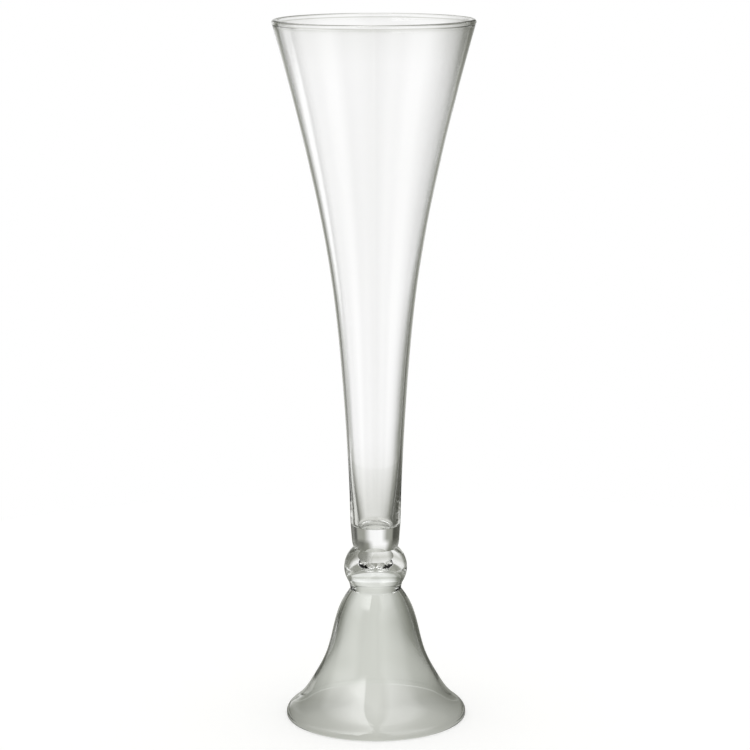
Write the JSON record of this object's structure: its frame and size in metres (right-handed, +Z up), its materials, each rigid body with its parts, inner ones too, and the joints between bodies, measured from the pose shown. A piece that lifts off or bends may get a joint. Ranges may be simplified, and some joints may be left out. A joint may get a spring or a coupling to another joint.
{
  "type": "trumpet vase",
  "caption": "Tall clear-glass trumpet vase: a slender flared bowl with a heavy base, welded through a round knop to a hollow flared bell foot it stands on.",
  "frame": {"origin": "centre of the foot's rest ring, on the floor", "axes": "+Z up along the vase's axis, from the bell foot to the rim; the vase is the same all round, and -Y is the side seen in the picture"},
  "size_m": [0.1726, 0.1726, 0.61],
  "materials": {
    "bowl_glass": "clear blown glass, fire-polished",
    "knop_glass": "clear solid glass, tooled round and fire-polished",
    "foot_glass": "clear blown glass, fire-polished, with a narrow ring ground flat under the lip"
  },
  "bodies": {
    "root": {"trumpet_bowl": "bowl_glass", "knop": "knop_glass", "bell_foot": "foot_glass"}
  },
  "joints": []
}
